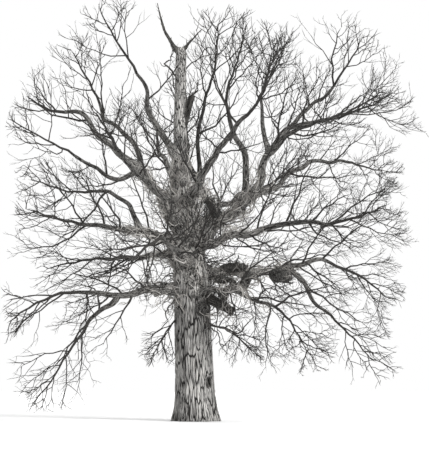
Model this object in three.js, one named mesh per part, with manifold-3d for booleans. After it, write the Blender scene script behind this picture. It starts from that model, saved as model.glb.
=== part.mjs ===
// Bare oak tree: an old, open-grown oak in winter, without a leaf.
// It has one leaning trunk, main boughs, a dead forked top, and masses of twigs that carry the crown's outline.
// Millimetres, +Z up. The origin is the middle of the flat cut under the trunk, at ground level.
// X runs to the right of the broad side of the crown and Y away from it.
// A bearing is in degrees round Z from +X, and a rise in degrees above level.
import * as THREE from 'three';
import { mergeVertices } from 'three/addons/utils/BufferGeometryUtils.js';
import Module from 'manifold-3d';

// Driving dimensions

const TRUNK = {
  height: 15800,
  lean: -750, // how far the top stands to the left of the foot
  leanCurve: 2.2, // how late it starts to lean, and how upright it ends
  sway: [50, 100], // slow waves of the stem, along X and Y
  topRadius: 220,
  taper: 150, // from the ground to the top
  shoulder: 430, // by which the stem narrows where its great boughs have left it
  shoulderHeight: 8400,
  shoulderLength: 1100,
  flare: 200, // extra radius of the root flare at the ground
  flareHeight: 600,
  buttresses: 7,
  buttressDepth: 0.08, // share of the radius
  buttressHeight: 1300,
  rings: 24,
  sides: 20,
};

// Stubs that stay on the trunk: a torn limb low on the right and two broken stems high up.
const STUBS = [
  { at: 5500, bearing: 340, rise: -28, length: 2100, butt: 250, tip: 170, sides: 8 },
  { at: 12000, bearing: 10, rise: 74, length: 1850, butt: 180, tip: 120, sides: 6 },
  { at: 10900, bearing: 168, rise: 58, length: 2100, butt: 130, tip: 80, sides: 6 },
];

// What each bough grows on, and where: millimetres up the trunk, or share of the parent bough.
// Then its bearings and rises from butt to tip, its length, its radii, the reach of the twigs
// at its tip, and how strongly those twigs hang.
const BOUGHS = {
  low_left: bough('trunk', 5300, [200, 206, 200], [0, 18, 2, -10, -8, 20, 4], 5100, 220, 70, 3500, 0.1),
  low_left_drop: bough('low_left', 0.66, [152, 162], [-48, -24, -55, -60], 2700, 120, 55, 3300, 0.13),
  left_shelf: bough('trunk', 6600, [142, 148, 140], [14, 4, 4, 0], 4900, 170, 65, 3700, 0.06),
  left_mid: bough('trunk', 7400, [212, 206, 214], [4, 5, 5, 4, -8], 5200, 200, 65, 3600, 0.04),
  left_mid_rise: bough('left_mid', 0.46, [160, 150], [72, 66, 18, 6, 2], 3700, 110, 55, 3500, 0.03),
  left_great: bough('trunk', 7800, [172, 168, 174], [58, 58, 57, 56, 42, 36, 58, 34, 4], 8200, 250, 75, 3200, -0.03),
  left_great_side: bough('left_great', 0.42, [210, 220], [-8, -12, 30, 22], 3600, 120, 55, 3500, 0.02),
  left_second: bough('left_great', 0.37, [140, 150], [74, 74, 62, 36, 44, 20, 64, 54], 4900, 140, 60, 3400, 0),
  left_upright: bough('trunk', 10500, [212, 206, 216], [61, 61, 62, 48, 50, 88, 62, 46], 4700, 170, 60, 3400, 0),
  right_great: bough('trunk', 6900, [352, 358, 362], [50, 51, 46, 34, 38, 70, 80, 62, 38, 22, 18], 8400, 270, 70, 3400, 0),
  cross_limb: bough('right_great', 0.24, [152, 124, 100], [52, 52, 54], 4700, 190, 70, 3400, 0),
  centre_thin: bough('cross_limb', 0.32, [230, 256, 300, 330], [76, 84, 78, 82, 60], 4700, 110, 55, 3100, 0),
  right_upright: bough('right_great', 0.36, [350, 250, 216, 260], [64, 80, 62, 54, 60], 4800, 170, 65, 3000, 0),
  right_fan_up: bough('right_great', 0.7, [112, 98, 84], [58, 56, 52, 58], 3600, 120, 55, 3300, 0),
  right_fan_high: bough('right_great', 0.76, [14, 8], [54, 38, 40, 54], 3800, 110, 55, 3400, 0),
  right_fan_side: bough('right_great', 0.68, [324, 310], [44, 20, 6, 0], 4200, 120, 55, 3500, 0.03),
  right_shelf_high: bough('right_great', 0.46, [26, 38, 30], [14, 34, 24, 14, -6], 5600, 140, 60, 3600, 0.04),
  right_mid: bough('trunk', 7300, [330, 334, 326], [8, 12, 8, 4, -4, -8], 7100, 180, 65, 3600, 0.02),
  right_low: bough('trunk', 5900, [22, 28, 22], [14, 12, -8, 4, 12, -14], 7200, 240, 75, 3600, 0.13),
  right_low_drop: bough('right_low', 0.7, [338, 328], [-34, -52, -44], 3100, 120, 55, 3000, 0.1),
  right_drop: bough('trunk', 5300, [322, 326], [10, 6, -14, -26, -30], 4500, 140, 55, 3000, 0.06),
  front_low: bough('trunk', 6200, [262, 254, 262], [16, 6, 12, 2], 5300, 200, 70, 3700, 0.08),
  front_left: bough('trunk', 8000, [246, 240, 248], [34, 28, 22, 14], 6300, 190, 70, 3400, 0),
  front_right: bough('trunk', 8600, [302, 298, 304], [40, 34, 26, 20], 6300, 190, 70, 3400, 0),
  back_low: bough('trunk', 6600, [84, 96, 88], [14, 4, 12, 2], 5300, 200, 70, 3700, 0.08),
  back_left: bough('trunk', 8600, [106, 112, 106], [46, 42, 34, 30], 6300, 190, 70, 3600, 0),
  back_right: bough('trunk', 7800, [62, 54, 64], [36, 28, 20, 14], 6500, 190, 70, 3600, 0),
  dead_top_left: bough('trunk', 15700, [184, 176], [46, 58, 72, 78], 2570, 100, 12, 0, 0),
  dead_top_right: bough('trunk', 15600, [4, -4], [58, 54, 36], 1550, 75, 10, 0, 0),
};

// Twigs that shoot straight from the trunk's bark: height, bearing, rise, reach, radius and droop.
const TRUNK_SHOOTS = {
  left_shoots: { at: 4600, bearing: 192, rise: -30, reach: 2100, radius: 35, droop: 0.06 },
  right_shoots: { at: 3900, bearing: 342, rise: 6, reach: 2400, radius: 40, droop: 0.08 },
  burr_shoots: { at: 6900, bearing: 298, rise: 16, reach: 2200, radius: 50, droop: -0.03 },
};

const LIMB_STEP = 420; // length of one straight stretch of a bough
const LIMB_BEND = 9; // degrees of its slow bends
const BEND_TURN = [170, 205]; // degrees of those bends' waves in each metre, sideways and upwards
const LIMB_KINK = 13; // degrees of the kink at each joint between stretches
const THICK_BUTT = 160; // from this butt radius a bough has one more side
const COLLAR = 0.35; // share by which a bough swells where it leaves its parent
const COLLAR_LENGTH = 1.5; // in butt radii

// The crown's outer face: a round dome on a squarer skirt, with low lumps. All twigs tend away from its heart.
const CROWN = {
  middle: new THREE.Vector3(850, 0, 8000),
  heart: new THREE.Vector3(300, 0, 6500),
  wide: 9050,
  deep: 8700,
  high: 9400,
  dome: 4,
  skirt: 4.4,
  lump: 0.16,
};
const LOWEST_TWIG = 350;

// The twigs' rule, level by level from a mass's stem outwards.
// share and splay say how long a twig is beside its parent and how far it leans off it.
const LEVELS = [
  { steps: 9, side: 9, share: 1, splay: 0, lift: 0.02, bend: 0.4, droop: 1 },
  { steps: 7, side: 6, share: 0.74, splay: 52, lift: 0.05, bend: 0.48, droop: 1 },
  { steps: 5, side: 4, share: 0.66, splay: 46, lift: 0.07, bend: 0.52, droop: 0.8 },
];
const OUTWARD_PULL = 0.11; // how strongly every twig turns away from the crown's heart
// Of its twigs, a solid mass holds the stem and those that reach nearest to the crown's face.
const SIDE_TWIGS_HELD = 7;
const OUTER_TWIGS_HELD = 3;
const STRETCHES_HELD = [4, 3, 2]; // straight stretches of a solid twig, by level
const TURN = 137.5; // degrees from one side twig to the next round their parent
const STEM_SHARE = 0.95; // length of a mass's stem beside its reach
const SPACE_SHARE = 0.95; // radius of a mass's space beside its reach
const TWIG_TAPER = 0.35; // tip radius beside butt radius
const CHILD_RADIUS = 0.62; // a twig's radius beside its parent's where it leaves it
const WALL_MARGIN = 20;
const TWIG_CLEARANCE = 40; // least distance between a twig and a limb

const GAP = 0.3; // between pieces that meet
const SAMPLE = 100; // along a limb, between the points that twigs are kept clear of
const CELL = 500; // side of the cells in which those points are looked up

function bough(on, at, bearings, rises, length, butt, tip, reach, droop) {
  return { on, at, bearings, rises, length, butt, tip, reach, droop };
}

// Numbers that look random and are the same on every run

function mixed(seed) {
  let bits = seed >>> 0;
  bits = Math.imul(bits ^ (bits >>> 16), 0x7feb352d) >>> 0;
  bits = Math.imul(bits ^ (bits >>> 15), 0x846ca68b) >>> 0;
  return (bits ^ (bits >>> 16)) >>> 0;
}

class Dice {
  constructor(seed) {
    this.state = mixed(seed);
  }

  roll(low, high) {
    this.state = (Math.imul(this.state, 1664525) + 1013904223) >>> 0;
    return low + ((high - low) * this.state) / 2 ** 32;
  }
}

// Directions and paths

const rad = THREE.MathUtils.degToRad;

function heading(bearing, rise) {
  const level = Math.cos(rad(rise));
  return new THREE.Vector3(
    level * Math.cos(rad(bearing)),
    level * Math.sin(rad(bearing)),
    Math.sin(rad(rise)),
  );
}

function step(from, way, length) {
  return from.clone().addScaledVector(way, length);
}

function squareTo(way) {
  const side = new THREE.Vector3(way.y, -way.x, 0);
  return side.lengthSq() > 1e-4 ? side.normalize() : new THREE.Vector3(1, 0, 0);
}

// The direction that leans off an axis by the splay, on the side that the roll gives.
function leaning(axis, splay, roll) {
  const side = squareTo(axis);
  const up = new THREE.Vector3().crossVectors(side, axis);
  const out = side.multiplyScalar(Math.cos(roll)).addScaledVector(up, Math.sin(roll));
  return axis.clone().multiplyScalar(Math.cos(splay)).addScaledVector(out, Math.sin(splay)).normalize();
}

function stretchAt(count, share) {
  const x = Math.min(Math.max(share, 0), 1) * (count - 1);
  const index = Math.min(Math.floor(x), count - 2);
  return [index, x - index];
}

function between(values, share) {
  const [index, part] = stretchAt(values.length, share);
  return values[index] + (values[index + 1] - values[index]) * part;
}

function pointAlong(path, share) {
  const [index, part] = stretchAt(path.length, share);
  return path[index].clone().lerp(path[index + 1], part);
}

function wayAlong(path, share) {
  const [index] = stretchAt(path.length, share);
  return path[index + 1].clone().sub(path[index]).normalize();
}

function trunkCentre(z) {
  const share = z / TRUNK.height;
  const lean = (1 - Math.max(1 - share, 0) ** TRUNK.leanCurve) ** TRUNK.leanCurve;
  return new THREE.Vector3(
    TRUNK.lean * lean - TRUNK.sway[0] * Math.sin(share * 11),
    TRUNK.sway[1] * Math.sin(share * 8),
    z,
  );
}

function trunkRadius(z) {
  const taper = TRUNK.taper * (1 - z / TRUNK.height);
  const shoulder = TRUNK.shoulder / (1 + Math.exp((z - TRUNK.shoulderHeight) / TRUNK.shoulderLength));
  return TRUNK.topRadius + taper + shoulder + TRUNK.flare * Math.exp(-z / TRUNK.flareHeight);
}

// A bough's path: straight stretches that follow its bearings and rises, with slow bends and kinks.
function boughPath(name) {
  const { on, at, bearings, rises, length } = BOUGHS[name];
  const dice = new Dice(1000 + Object.keys(BOUGHS).indexOf(name));
  const steps = Math.max(6, Math.round(length / LIMB_STEP));
  const phases = [dice.roll(0, 360), dice.roll(0, 360)];
  const path = [on === 'trunk' ? trunkCentre(at) : pointAlong(paths.get(on), at)];
  for (let i = 0; i < steps; i++) {
    const share = (i + 0.5) / steps;
    const metres = (share * length) / 1000;
    const side = i % 2 ? 1 : -1;
    const bends = phases.map((phase, k) => LIMB_BEND * Math.sin(rad(phase + BEND_TURN[k] * metres)));
    const bearing = between(bearings, share) + bends[0] + side * dice.roll(0, 1) * LIMB_KINK;
    const rise = between(rises, share) + bends[1] + side * dice.roll(-1, 1) * LIMB_KINK;
    path.push(step(path[i], heading(bearing, rise), length / steps));
  }
  return path;
}

const paths = new Map();
for (const name of Object.keys(BOUGHS)) {
  paths.set(name, boughPath(name));
}

// Solids

const wasm = await Module();
wasm.setup();

function solidOf(geometry) {
  geometry.deleteAttribute('normal');
  geometry.deleteAttribute('uv');
  const merged = mergeVertices(geometry);
  return new wasm.Manifold(
    new wasm.Mesh({
      numProp: 3,
      vertProperties: Float32Array.from(merged.attributes.position.array),
      triVerts: Uint32Array.from(merged.index.array),
    }),
  );
}

// A tapering limb: a cylinder whose rings are laid along a path, each square to it.
// firstWay turns the first ring so that it meets another limb's flat end.
function limb(path, radii, sides, firstWay) {
  const steps = path.length - 1;
  const tipScale = radii[steps] > 0 ? 1 : 0;
  const geometry = new THREE.CylinderGeometry(tipScale, 1, 1, sides, steps);
  const rings = [];
  let side = squareTo(wayAlong(path, 0));
  for (let i = 0; i <= steps; i++) {
    const before = path[Math.max(i - 1, 0)];
    const after = path[Math.min(i + 1, steps)];
    const way = i === 0 && firstWay ? firstWay : after.clone().sub(before).normalize();
    side = side.clone().addScaledVector(way, -side.dot(way)).normalize();
    rings.push({ side, up: new THREE.Vector3().crossVectors(side, way) });
  }
  const corners = geometry.attributes.position;
  const corner = new THREE.Vector3();
  for (let i = 0; i < corners.count; i++) {
    corner.fromBufferAttribute(corners, i);
    const ring = Math.round((corner.y + 0.5) * steps);
    const off = Math.hypot(corner.x, corner.z);
    const size = off > 0 ? radii[ring] / off : 0;
    const place = path[ring].clone();
    place.addScaledVector(rings[ring].side, corner.x * size);
    place.addScaledVector(rings[ring].up, corner.z * size);
    corners.setXYZ(i, place.x, place.y, place.z);
  }
  return solidOf(geometry);
}

function boughRadii({ butt, tip, length }, count, extra) {
  const radii = [];
  for (let i = 0; i < count; i++) {
    const share = i / (count - 1);
    const swell = 1 + COLLAR * Math.exp((-share * length) / (COLLAR_LENGTH * butt));
    radii.push((butt + (tip - butt) * share) * swell + extra);
  }
  return radii;
}

// The trunk: level rings from the flat cut to the tip, lobed by the buttresses of the root flare.
function trunkSolid(extra) {
  const geometry = new THREE.CylinderGeometry(1, 1, 1, TRUNK.sides, TRUNK.rings);
  const corners = geometry.attributes.position;
  for (let i = 0; i < corners.count; i++) {
    const x = corners.getX(i);
    const y = -corners.getZ(i);
    // Rings stand closer together in the flare.
    const share = corners.getY(i) + 0.5;
    const z = TRUNK.height * share ** 1.5;
    const lobes = Math.cos(TRUNK.buttresses * Math.atan2(y, x) + 0.6);
    const depth = TRUNK.buttressDepth * Math.exp(-z / TRUNK.buttressHeight);
    const radius = Math.hypot(x, y) > 0 ? trunkRadius(z) * (1 + lobes * depth) + extra : 0;
    const centre = trunkCentre(z);
    corners.setXYZ(i, centre.x + x * radius, centre.y + y * radius, z);
  }
  let solid = solidOf(geometry);
  for (const { at, bearing, rise, length, butt, tip, sides } of STUBS) {
    const start = trunkCentre(at);
    const way = heading(bearing, rise);
    const path = [0, 0.5, 1].map((share) => step(start, way, length * share + share * extra));
    solid = solid.add(limb(path, [butt, (butt + tip) / 2, tip].map((radius) => radius + extra), sides));
  }
  return solid;
}

// The largest body of a solid, with loose scraps dropped and sealed hollows filled.
function largest(solid) {
  const bodies = solid.decompose();
  return bodies.reduce((best, body) => (body.volume() > best.volume() ? body : best));
}

// Limbs: the trunk first, then each bough cut 0.3 mm clear of all that came before it

const solids = new Map([['trunk', trunkSolid(0)]]);
const grown = new Map([['trunk', trunkSolid(GAP)]]);

for (const [name, path] of paths) {
  const { butt, on } = BOUGHS[name];
  const sides = butt >= THICK_BUTT ? 7 : 6;
  let solid = limb(path, boughRadii(BOUGHS[name], path.length, 0), sides);
  for (const other of grown.values()) {
    solid = solid.subtract(other);
  }
  solids.set(name + (on === 'trunk' && !BOUGHS[name].reach ? '' : '_bough'), largest(solid));
  const longer = [...path];
  longer[path.length - 1] = step(path.at(-1), wayAlong(path, 1), GAP);
  grown.set(name, limb(longer, boughRadii(BOUGHS[name], path.length, GAP), sides));
}

// Points of the limbs, by cell, so that a twig can keep clear of them

const limbPoints = new Map();

function cellOf(value) {
  return Math.floor(value / CELL);
}

function notePoint(name, place, radius) {
  const far = radius + TWIG_CLEARANCE + 100;
  for (let i = cellOf(place.x - far); i <= cellOf(place.x + far); i++) {
    for (let j = cellOf(place.y - far); j <= cellOf(place.y + far); j++) {
      for (let k = cellOf(place.z - far); k <= cellOf(place.z + far); k++) {
        const key = `${i} ${j} ${k}`;
        if (!limbPoints.has(key)) {
          limbPoints.set(key, []);
        }
        limbPoints.get(key).push({ name, place, radius });
      }
    }
  }
}

for (let z = 0; z <= TRUNK.height; z += SAMPLE) {
  notePoint('trunk', trunkCentre(z), trunkRadius(z));
}
for (const { at, bearing, rise, length, butt } of STUBS) {
  for (let run = 0; run <= length; run += SAMPLE) {
    notePoint('trunk', step(trunkCentre(at), heading(bearing, rise), run), butt);
  }
}
for (const [name, path] of paths) {
  const { length, butt, tip } = BOUGHS[name];
  const count = Math.round(length / SAMPLE);
  for (let i = 0; i <= count; i++) {
    notePoint(name, pointAlong(path, i / count), butt + ((tip - butt) * i) / count);
  }
}

function hitsLimb(mass, place, radius, level) {
  const key = `${cellOf(place.x)} ${cellOf(place.y)} ${cellOf(place.z)}`;
  for (const point of limbPoints.get(key) ?? []) {
    if (level === 0 && point.name === mass.limb) continue;
    if (point.place.distanceTo(place) < point.radius + radius + TWIG_CLEARANCE) return true;
  }
  return false;
}

// Masses of twigs, each in a space of its own

const masses = [];
for (const [name, path] of paths) {
  const { tip, reach, droop } = BOUGHS[name];
  if (reach) {
    const start = path.at(-1);
    const way = wayAlong(path, 1);
    const seed = 7000 + 37 * masses.length;
    const centre = step(start, way, reach * 0.4);
    masses.push({ name: `${name}_twigs`, limb: name, start, way, reach, centre, radius: tip, droop, seed });
  }
}
Object.entries(TRUNK_SHOOTS).forEach(([name, { at, bearing, rise, reach, radius, droop }], k) => {
  const way = heading(bearing, rise);
  const start = step(trunkCentre(at), way, trunkRadius(at) * 0.8);
  const seed = 7900 + 37 * k;
  const centre = step(start, way, reach * 0.5);
  masses.push({ name, limb: 'trunk', start, way, reach, centre, radius, droop, seed });
});

// A wall stands between two masses where their spaces would meet.
for (const mass of masses) {
  mass.walls = [];
  for (const other of masses) {
    const way = other.centre.clone().sub(mass.centre);
    const distance = way.length();
    if (other !== mass && distance < (mass.reach + other.reach) * SPACE_SHARE) {
      way.normalize();
      const limit = way.dot(mass.centre) + (distance * mass.reach) / (mass.reach + other.reach);
      mass.walls.push({ way, limit });
    }
  }
}

// How near a place is to the crown's outer face, where this is 1.
function crownShare(place) {
  const off = place.clone().sub(CROWN.middle);
  const square = off.z > 0 ? CROWN.dome : CROWN.skirt;
  const share =
    Math.hypot(off.x / CROWN.wide, off.y / CROWN.deep) ** square + (Math.abs(off.z) / CROWN.high) ** square;
  off.divideScalar(1000);
  const lump = Math.sin(3 * Math.atan2(off.y, off.x) + 1.1 * off.z) * Math.sin(1.9 * off.x - 1.3 * off.y);
  return share / (1 + CROWN.lump * lump);
}

function outOfCrown(place) {
  return crownShare(place) > 1 || place.z < LOWEST_TWIG;
}

function wallPast(mass, place, margin) {
  return mass.walls.find(({ way, limit }) => way.dot(place) > limit - margin);
}

function outOfSpace(mass, place, margin) {
  return outOfCrown(place) || place.distanceTo(mass.centre) > mass.reach * SPACE_SHARE - margin;
}

// The way of a twig's next stretch: it sways, tends outwards, and lifts towards the light or hangs.
function nextWay(mass, rule, place, way, sway, bend) {
  const side = squareTo(way);
  const up = new THREE.Vector3().crossVectors(side, way);
  const turned = way.clone();
  turned.addScaledVector(side, bend * Math.cos(rad(sway)));
  turned.addScaledVector(up, bend * Math.sin(rad(sway)));
  turned.addScaledVector(place.clone().sub(CROWN.heart).normalize(), OUTWARD_PULL);
  turned.z += rule.lift - mass.droop * rule.droop;
  return turned.normalize();
}

function grow(mass, start, firstWay, length, radius, level, seed, twigs, parent) {
  const rule = LEVELS[level];
  const dice = new Dice(seed);
  const stretch = length / rule.steps;
  const margin = radius + WALL_MARGIN;
  const path = [start];
  let way = firstWay;
  let sway = dice.roll(0, 360);
  for (let i = 0; i < rule.steps; i++) {
    sway += dice.roll(80, 200);
    way = nextWay(mass, rule, path[i], way, sway, rule.bend * dice.roll(0.3, 1));
    let end = step(path[i], way, stretch);
    // A stem or a side twig slides along a wall, and a finer twig ends there.
    const wall = level < 2 && wallPast(mass, end, margin);
    if (wall) {
      way = step(way, wall.way, -1.15 * way.dot(wall.way) - 0.06).normalize();
      end = step(path[i], way, stretch);
    }
    if (wallPast(mass, end, margin) || outOfSpace(mass, end, margin)) break;
    if (hitsLimb(mass, end, radius, level)) break;
    path.push(end);
  }
  if (path.length < 3) return;
  const tip = radius * TWIG_TAPER;
  const twig = { level, path, radius, tip, firstWay, parent };
  twigs.push(twig);
  const next = LEVELS[level + 1];
  if (!next) return;
  const count = Math.max(2, Math.round((rule.side * (path.length - 1)) / rule.steps));
  const first = level === 0 ? 0.16 : 0.28;
  let roll = dice.roll(0, 360);
  for (let k = 0; k < count; k++) {
    const share = first + ((1 - first) * (k + dice.roll(0.1, 0.9))) / count;
    roll += TURN + dice.roll(-25, 25);
    const splay = next.splay + dice.roll(-12, 12);
    const childLength = length * next.share * (1.2 - 0.7 * share) * dice.roll(0.7, 1.2);
    const childRadius = (radius + (tip - radius) * share) * CHILD_RADIUS;
    const childSeed = mixed(seed + 101 * (k + 1));
    const childWay = leaning(wayAlong(path, share), rad(splay), rad(roll));
    const foot = pointAlong(path, share);
    grow(mass, foot, childWay, childLength, childRadius, level + 1, childSeed, twigs, twig);
  }
}

// The stem, the side twigs that reach furthest out, and the furthest twigs on those.
function heldTwigs(twigs) {
  const ofLevel = (level) => {
    const found = twigs.filter((twig) => twig.level === level);
    return found.sort((a, b) => crownShare(b.path.at(-1)) - crownShare(a.path.at(-1)));
  };
  const outer = [];
  for (const twig of ofLevel(2)) {
    const taken = outer.some(({ parent }) => parent === twig.parent);
    if (!taken && outer.length < OUTER_TWIGS_HELD) {
      outer.push(twig);
    }
  }
  const sides = new Set([...outer.map(({ parent }) => parent), ...ofLevel(1)]);
  return [...ofLevel(0), ...[...sides].slice(0, SIDE_TWIGS_HELD), ...outer];
}

// A solid twig takes a few points of its path and ends in a point.
function twigSolid({ level, path, radius, tip, firstWay }) {
  const last = Math.min(path.length - 1, STRETCHES_HELD[level]);
  const kept = [];
  for (let i = 0; i <= last; i++) {
    kept.push(path[Math.round((i * (path.length - 1)) / last)]);
  }
  // Three sides with these corners hold as much wood as a round twig.
  const corner = 1.55;
  const radii = kept.map((place, i) => (i === last ? 0 : (radius + ((tip - radius) * i) / last) * corner));
  if (level > 0) return limb(kept, radii, 3);
  kept[0] = step(kept[0], firstWay, GAP);
  radii[0] = radius;
  return limb(kept, radii, 3, firstWay);
}

for (const mass of masses) {
  const twigs = [];
  grow(mass, mass.start, mass.way, mass.reach * STEM_SHARE, mass.radius, 0, mass.seed, twigs);
  let solid = wasm.Manifold.union(heldTwigs(twigs).map(twigSolid));
  if (mass.limb === 'trunk') {
    for (const other of grown.values()) {
      solid = solid.subtract(other);
    }
  }
  solids.set(mass.name, largest(solid));
}

// The tree: one mesh for each piece, all in the tree's own frame

const BARK = { color: 0x6f6a62, roughness: 0.95, metalness: 0 };
const DEAD_WOOD = { color: 0x8b867c, roughness: 0.9, metalness: 0 };
const TWIG_BARK = { color: 0x4a4540, roughness: 0.9, metalness: 0 };

function finishOf(name) {
  if (name.startsWith('dead_top')) return DEAD_WOOD;
  return name === 'trunk' || name.endsWith('_bough') ? BARK : TWIG_BARK;
}

const tree = new THREE.Group();
for (const [name, solid] of solids) {
  const { vertProperties, triVerts } = solid.getMesh();
  const geometry = new THREE.BufferGeometry();
  geometry.setAttribute('position', new THREE.BufferAttribute(Float32Array.from(vertProperties), 3));
  geometry.setIndex(new THREE.BufferAttribute(Uint32Array.from(triVerts), 1));
  geometry.computeVertexNormals();
  const mesh = new THREE.Mesh(geometry, new THREE.MeshStandardMaterial(finishOf(name)));
  mesh.name = name;
  tree.add(mesh);
}

export default tree;
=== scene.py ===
"""Bare oak tree in winter: the look of every piece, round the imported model. Metres, +Z up, ground at 0."""
import itertools
import math

import bpy
import numpy as np
from mathutils import Matrix, Vector


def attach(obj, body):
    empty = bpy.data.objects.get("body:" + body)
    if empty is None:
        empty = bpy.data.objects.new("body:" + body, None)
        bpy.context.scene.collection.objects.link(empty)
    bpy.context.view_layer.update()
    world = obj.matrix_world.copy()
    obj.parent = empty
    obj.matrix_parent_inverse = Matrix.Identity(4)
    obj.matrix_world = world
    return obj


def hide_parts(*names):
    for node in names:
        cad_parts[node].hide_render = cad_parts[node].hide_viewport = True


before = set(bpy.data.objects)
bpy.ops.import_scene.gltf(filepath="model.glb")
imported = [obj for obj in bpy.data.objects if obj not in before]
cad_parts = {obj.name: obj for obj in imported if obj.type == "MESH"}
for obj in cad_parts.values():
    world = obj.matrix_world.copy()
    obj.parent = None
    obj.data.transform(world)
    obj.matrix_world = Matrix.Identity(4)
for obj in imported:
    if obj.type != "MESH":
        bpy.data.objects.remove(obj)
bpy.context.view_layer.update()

# The view: a person's eye 50 m off, looking up at the middle of the tree.
# The page round the drawn tree is blank, so the air is white, the ground is pale and the light is soft.
EYE = Vector((0.75, -50.0, 1.6))
LOOKS_AT = Vector((0.75, 0.0, 8.21))
SKY_LIGHT = 1.0
SUN_LIGHT = 2.8
SUN_FROM = Vector((0.75, -0.65, 0.6))
GROUND_TONE = (0.9, 0.9, 0.9)


def plain_material(name, colour, roughness=0.85):
    made = bpy.data.materials.new(name)
    made.use_nodes = True
    skin = made.node_tree.nodes["Principled BSDF"].inputs
    skin["Base Color"].default_value = (*colour, 1)
    skin["Roughness"].default_value = roughness
    return made


bpy.ops.object.camera_add(location=EYE, rotation=(LOOKS_AT - EYE).to_track_quat("-Z", "Y").to_euler())
eye = bpy.context.object
eye.data.lens = 95.07
eye.data.sensor_width = 36
eye.data.clip_end = 400
bpy.context.scene.camera = eye
bpy.context.scene.view_settings.view_transform = "Standard"

air = bpy.data.worlds.new("winter_air")
bpy.context.scene.world = air
air.use_nodes = True
air.node_tree.nodes["Background"].inputs["Color"].default_value = (1, 1, 1, 1)
air.node_tree.nodes["Background"].inputs["Strength"].default_value = SKY_LIGHT

bpy.ops.object.light_add(type="SUN", rotation=SUN_FROM.to_track_quat("Z", "Y").to_euler())
sun = bpy.context.object
sun.data.energy = SUN_LIGHT
sun.data.angle = math.radians(12)

bpy.ops.mesh.primitive_circle_add(vertices=128, radius=150, fill_type="NGON")
ground = bpy.context.object
ground.name = "ground"
ground.data.materials.append(plain_material("pale_ground", GROUND_TONE, 1.0))


# The trunk: one leaning stem with a root flare, seven low buttresses and deep bark in long ridges.
# It is laid up ring by ring from the flat cut at the ground, hollowed where a branch was lost long ago,
# and then roughened into bark. Light and shade are painted into its bark: its sides, its foot and the bands
# under and over the shoots are painted darker, the stretch among the shoots and the top lighter.
TRUNK_HEIGHT = 15.8
TRUNK_LEAN, LEAN_CURVE = -0.75, 2.2
TRUNK_SWAY, SWAY_TURNS = (0.05, 0.10), (11, 8)
TRUNK_TOP, TRUNK_TAPER = 0.22, 0.15
TRUNK_SHOULDER, SHOULDER_HEIGHT, SHOULDER_LENGTH = 0.43, 8.4, 1.1
FLARE, FLARE_HEIGHT = 0.2, 0.6
BUTTRESSES, BUTTRESS_DEPTH, BUTTRESS_HEIGHT = 7, 0.08, 1.3
BUTTRESS_SIDES, BUTTRESS_RINGS, BUTTRESS_TURN = 6, 16, -0.6
TRUNK_SIDES = BUTTRESS_SIDES * BUTTRESSES
TRUNK_RINGS, RING_SPREAD = 33, 1.2
TOP_STEPS = ((0.07, 0.8), (0.12, 0.6))
TOP_JAGS = ((0.07, 2.4), (0.05, 0.9))
KNOT = Vector((0.52, -0.62, 1.6))

# Painted light and shade on the bark: how light it is by height, and by how far left or right of the trunk's
# middle it lies.
PAINTED_SHADE_UP = {
    0: 0.75, 0.5: 0.9, 3.0: 0.95, 3.6: 0.65, 4.8: 0.65, 5.4: 1.25, 10.0: 1.25, 10.5: 0.3, 11.6: 0.3,
    12.1: 1.3, 16: 1.3,
}
PAINTED_SHADE_ACROSS = {-0.95: 0.5, -0.3: 0.75, 0.2: 1, 0.5: 0.95, 1: 0.6}


def read_off(table, value):
    return np.interp(value, list(table), list(table.values()))


def trunk_centre(z):
    share = z / TRUNK_HEIGHT
    lean = (1 - max(1 - share, 0) ** LEAN_CURVE) ** LEAN_CURVE
    across, away = [sway * math.sin(share * turns) for sway, turns in zip(TRUNK_SWAY, SWAY_TURNS)]
    return Vector((TRUNK_LEAN * lean - across, away, z))


def trunk_radius(z):
    taper = TRUNK_TAPER * (1 - z / TRUNK_HEIGHT)
    shoulder = TRUNK_SHOULDER / (1 + math.exp((z - SHOULDER_HEIGHT) / SHOULDER_LENGTH))
    return TRUNK_TOP + taper + shoulder + FLARE * math.exp(-z / FLARE_HEIGHT)


def plate_width(radius):
    """How far apart the bark's ridges stand on a limb of this radius."""
    return 0.04 + 0.07 * radius


def go_to(mode):
    bpy.ops.object.mode_set(mode=mode)


def new_ring(name, centre, radius, sides, first_angle=0.0):
    """A flat disc, level, in edit mode and selected, to be drawn out into a limb."""
    bpy.ops.object.select_all(action="DESELECT")
    bpy.ops.mesh.primitive_circle_add(
        vertices=sides, radius=radius, fill_type="NGON", location=centre, rotation=(0, 0, first_angle)
    )
    piece = bpy.context.object
    piece.name = name
    bpy.ops.object.transform_apply(location=True, rotation=True, scale=True)
    go_to("EDIT")
    bpy.ops.mesh.select_all(action="SELECT")
    return piece


def draw_on(centre, new_centre, growth):
    """Extrudes the selected end of a limb to its next ring."""
    bpy.ops.mesh.extrude_region_move(TRANSFORM_OT_translate={"value": new_centre - centre})
    bpy.ops.transform.resize(value=(growth, growth, growth), center_override=new_centre)


def turn_end(centre, way, new_way):
    """Turns the selected end of a limb from one direction to another."""
    axis = way.cross(new_way)
    if axis.length < 1e-5:
        return
    axis.normalize()
    side = axis.orthogonal().normalized()
    bpy.ops.transform.rotate(
        value=way.angle(new_way),
        orient_type="GLOBAL",
        orient_matrix=Matrix((side, axis.cross(side), axis)).transposed(),
        orient_matrix_type="GLOBAL",
        constraint_axis=(False, False, True),
        center_override=centre,
    )


def select_points(piece, chosen):
    """Goes into edit mode with only these points selected."""
    mesh = piece.data
    mesh.polygons.foreach_set("select", np.zeros(len(mesh.polygons), dtype=bool))
    mesh.edges.foreach_set("select", np.zeros(len(mesh.edges), dtype=bool))
    mesh.vertices.foreach_set("select", chosen)
    go_to("EDIT")


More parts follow.
